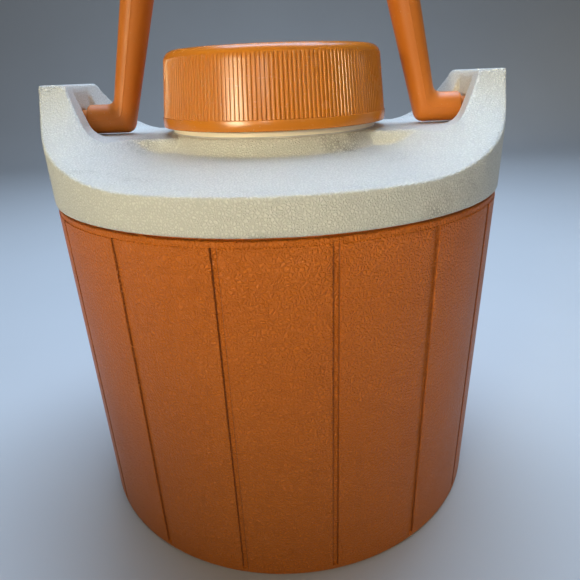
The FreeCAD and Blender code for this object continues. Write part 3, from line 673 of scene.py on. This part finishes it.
def grained_plastic(name, main, shade, dirt_shade_colour, roughness, specular, cell_mm, grain_mm, dirt_share, crease_shade_share):
    """Moulded polyethylene with a leather grain, uneven colour, dirty patches and painted shade in the creases,
    and specks.

    Painted shade also darkens the groove walls, where the mesh marks them.
    """
    material, tree, shader, where = new_material(name)
    height, cushions = leather_height(tree, where, cell_mm)
    cloud = ramp(tree, noise(tree, where, 14.0, 4.0), 0.3, 0.7)
    base = mix_colour(tree, cloud, main, shade)
    crease = math_node(tree, "SUBTRACT", 1.0, cushions)
    patch = ramp(tree, noise(tree, where, 30.0, 5.0, 0.65), 0.56, 0.84)
    # the creases are darkened everywhere as painted shade, and further in the dirty patches
    dirt_and_shade_share = math_node(tree, "ADD", math_node(tree, "MULTIPLY", patch, dirt_share), crease_shade_share)
    dirt_and_shade = math_node(tree, "MULTIPLY", crease, dirt_and_shade_share)
    # painted shade along the groove walls, where the mesh marks them
    wall = add_node(tree, "ShaderNodeAttribute", attribute_name="groove_wall_shade").outputs["Fac"]
    dirt_and_shade = math_node(tree, "MAXIMUM", dirt_and_shade, math_node(tree, "MULTIPLY", wall, WALL_SHADE))
    # the one dark colour paints both the dirty patches and the painted shade
    base = mix_colour(tree, dirt_and_shade, base, dirt_shade_colour)
    spot = math_node(tree, "MULTIPLY", specks(tree, where, 1.1, 0.80), 0.7)
    base = mix_colour(tree, spot, base, dirt_shade_colour)
    tree.links.new(base, shader.inputs["Base Color"])
    streaks = noise(tree, stretched(tree, where, (1.0, 1.0, 0.06)), 420.0, 2.0)
    scuff = ramp(tree, streaks, 0.70, 0.76)
    uneven = math_node(tree, "MULTIPLY", noise(tree, where, 60.0, 4.0), 0.16)
    rough = math_node(tree, "ADD", math_node(tree, "ADD", uneven, roughness - 0.08),
                      math_node(tree, "MULTIPLY", scuff, -0.10))
    tree.links.new(rough, shader.inputs["Roughness"])
    shader.inputs["Specular IOR Level"].default_value = specular
    height = math_node(tree, "SUBTRACT", height, math_node(tree, "MULTIPLY", scuff, 0.25))
    bumped(tree, shader, height, grain_mm)
    return material


def smooth_plastic(name, main, shade, roughness, coat):
    """Glossy or satin moulded plastic: faint flow clouding, hairline scratches and dust."""
    material, tree, shader, where = new_material(name)
    cloud = ramp(tree, noise(tree, where, 22.0, 4.0), 0.3, 0.7)
    dust = math_node(tree, "MULTIPLY", specks(tree, where, 0.9, 0.74), 0.25)
    base = mix_colour(tree, cloud, main, shade)
    base = mix_colour(tree, dust, base, colour(0.55, 0.42, 0.30))
    tree.links.new(base, shader.inputs["Base Color"])
    lines = noise(tree, stretched(tree, where, (0.12, 1.0, 1.0)), 900.0, 2.0)
    scratches = math_node(tree, "MULTIPLY", ramp(tree, lines, 0.68, 0.73), SCRATCH)
    uneven = math_node(tree, "MULTIPLY", noise(tree, where, 90.0, 4.0), 0.14)
    rough = math_node(tree, "ADD", math_node(tree, "ADD", uneven, roughness - 0.07),
                      math_node(tree, "MULTIPLY", scratches, 0.15))
    tree.links.new(rough, shader.inputs["Roughness"])
    shader.inputs["Specular IOR Level"].default_value = SMOOTH_SPECULAR
    shader.inputs["Coat Weight"].default_value = coat
    shader.inputs["Coat Roughness"].default_value = COAT_ROUGHNESS
    ripple = noise(tree, where, 160.0, 3.0)
    height = math_node(tree, "SUBTRACT", ripple, math_node(tree, "MULTIPLY", scratches, 0.4))
    bumped(tree, shader, height, WAVE_MM)
    return material


def foam_material():
    """Rigid cream foam with open pores."""
    material, tree, shader, where = new_material("foam_finish")
    pores = cells(tree, where, 0.9, "F1")
    open_pore = ramp(tree, pores, 0.05, 0.55)
    base = mix_colour(tree, open_pore, colour(0.52, 0.40, 0.20), colour(0.84, 0.74, 0.48))
    tree.links.new(base, shader.inputs["Base Color"])
    rough = math_node(tree, "ADD", math_node(tree, "MULTIPLY", noise(tree, where, 80.0), 0.15), 0.75)
    tree.links.new(rough, shader.inputs["Roughness"])
    bumped(tree, shader, open_pore, 0.3)
    return material


def rubber_material():
    """Soft grey-beige rubber, slightly worn."""
    material, tree, shader, where = new_material("seal_finish")
    worn = ramp(tree, noise(tree, where, 70.0, 5.0), 0.35, 0.7)
    base = mix_colour(tree, worn, colour(0.36, 0.34, 0.30), colour(0.50, 0.47, 0.42))
    tree.links.new(base, shader.inputs["Base Color"])
    rough = math_node(tree, "ADD", math_node(tree, "MULTIPLY", worn, 0.15), 0.55)
    tree.links.new(rough, shader.inputs["Roughness"])
    bumped(tree, shader, noise(tree, where, 900.0, 3.0), 0.04)
    return material


def set_material(made, material):
    made.data.materials.clear()
    made.data.materials.append(material)


def dress_cad_node(name, material):
    """Give a CAD node that stays shown a finished material in every slot."""
    node = frame["nodes"][name]
    if not node.material_slots:
        node.data.materials.append(material)
    for place in node.material_slots:
        place.material = material


# ---------------------------------------------------------------- stage and light

STAGE_HALF_WIDTH = 1500.0
STAGE_FRONT = -1600.0
STAGE_BACK = 1100.0         # where the floor begins to curve up
STAGE_BEND = 400.0
STAGE_TOP = 2400.0


def make_stage():
    """Plain pale floor that curves up into a plain backdrop."""
    line = [(STAGE_FRONT, 0.0), (0.0, 0.0), (STAGE_BACK, 0.0)]
    for degrees in range(6, 91, 6):
        angle = math.radians(degrees)
        line.append((STAGE_BACK + STAGE_BEND * math.sin(angle), STAGE_BEND * (1 - math.cos(angle))))
    line.append((STAGE_BACK + STAGE_BEND, STAGE_TOP))
    points = []
    for along, height in line:
        points += [(-STAGE_HALF_WIDTH, along, height), (STAGE_HALF_WIDTH, along, height)]
    faces = [(2 * i, 2 * i + 1, 2 * i + 3, 2 * i + 2) for i in range(len(line) - 1)]
    stage = new_object("floor", points, faces, 60.0)
    material, tree, shader, where = new_material("floor_finish")
    tone = mix_colour(tree, noise(tree, where, 5.0), colour(0.50, 0.49, 0.47), colour(0.54, 0.53, 0.51))
    tree.links.new(tone, shader.inputs["Base Color"])
    shader.inputs["Roughness"].default_value = 0.75
    set_material(stage, material)


def area_light(name, place, target, size, energy, tint, spread=180.0):
    """A soft rectangular light aimed at a point; places in metres, the beam's spread in degrees."""
    data = bpy.data.lights.new(name, "AREA")
    data.shape = "RECTANGLE"
    data.size, data.size_y = size
    data.energy = energy
    data.color = tint
    data.spread = math.radians(spread)
    light = bpy.data.objects.new(name, data)
    light.location = place
    aim = Vector(target) - Vector(place)
    light.rotation_mode = "QUATERNION"
    light.rotation_quaternion = aim.to_track_quat("-Z", "Y")
    bpy.context.scene.collection.objects.link(light)


COOL = (0.52, 0.71, 1.0)
WARM = (1.0, 0.90, 0.60)
FILL_SPREAD = 28.0          # narrow, so the light falls off towards the jug's foot


def make_lights():
    """Cool light from above, a warm beam from the left, a soft warm one from the right, and a cap highlight."""
    area_light("key", (0.06, 0.30, 1.05), (0, 0, 0.14), (0.9, 0.7), 20.0, COOL)
    area_light("fill", (-0.45, -0.68, 0.32), (0, -0.08, 0.20), (0.36, 0.12), 0.20, WARM, FILL_SPREAD)
    area_light("front", (0.50, -0.95, 0.70), (0, 0, 0.20), (0.9, 0.6), 2.0, (1.0, 0.88, 0.60))
    area_light("window", (-0.10, -0.70, 0.365), (0, -0.05, 0.205), (0.05, 0.07), 0.50, (1.0, 0.94, 0.78))
    world = bpy.data.worlds.new("world")
    world.use_nodes = True
    background = next(node for node in world.node_tree.nodes if node.type == "BACKGROUND")
    background.inputs["Color"].default_value = (0.80, 0.82, 0.86, 1.0)
    background.inputs["Strength"].default_value = 0.12
    bpy.context.scene.world = world
    bpy.context.scene.view_settings.view_transform = "Standard"


# ---------------------------------------------------------------- assembly

def place(made, material, body, node, slot_name):
    """Dress a detailed piece and let it stand for its CAD node."""
    set_material(made, material)
    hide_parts(node)
    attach(made, body)


def main():
    make_camera()
    make_stage()
    make_lights()
    # The third colour of a grained finish paints its dirty patches, specks and the painted shade in creases and
    # groove walls.
    jacket_finish = grained_plastic(
        "jacket_finish", colour(0.60, 0.150, 0.009), colour(0.56, 0.135, 0.007), colour(0.11, 0.024, 0.006),
        roughness=0.40, specular=0.30, cell_mm=1.55, grain_mm=0.62, dirt_share=0.15, crease_shade_share=0.12)
    shoulder_finish = grained_plastic(
        "shoulder_finish", colour(0.71, 0.69, 0.61), colour(0.68, 0.65, 0.57), colour(0.14, 0.12, 0.075),
        roughness=0.42, specular=0.42, cell_mm=1.20, grain_mm=0.40, dirt_share=0.80, crease_shade_share=0.22)
    cap_finish = smooth_plastic("cap_finish", colour(0.56, 0.175, 0.011), colour(0.53, 0.160, 0.010),
                                roughness=0.25, coat=0.06)
    handle_finish = smooth_plastic("handle_finish", colour(0.56, 0.155, 0.014), colour(0.52, 0.140, 0.012),
                                   roughness=0.46, coat=0.0)
    vessel_finish = smooth_plastic("vessel_finish", colour(0.80, 0.70, 0.52), colour(0.76, 0.66, 0.48),
                                   roughness=0.38, coat=0.0)
    plug_finish = smooth_plastic("plug_finish", colour(0.52, 0.145, 0.020), colour(0.46, 0.120, 0.018),
                                 roughness=0.48, coat=0.0)
    place(make_jacket(), jacket_finish, "root", "outer_jacket", "jacket")
    place(make_shoulder(), shoulder_finish, "root", "shoulder", "shoulder")
    place(make_handle(), handle_finish, "handle", "handle", "handle")
    place(make_cap(), cap_finish, "cap", "cap_shell", "cap")
    foam = foam_material()
    rubber = rubber_material()
    for name, material in (("inner_vessel", vessel_finish), ("cap_inner_cup", vessel_finish),
                           ("filling_plug", plug_finish), ("foam_insulation", foam), ("cap_foam", foam),
                           ("neck_gasket", rubber), ("cap_gasket", rubber)):
        dress_cad_node(name, material)


main()
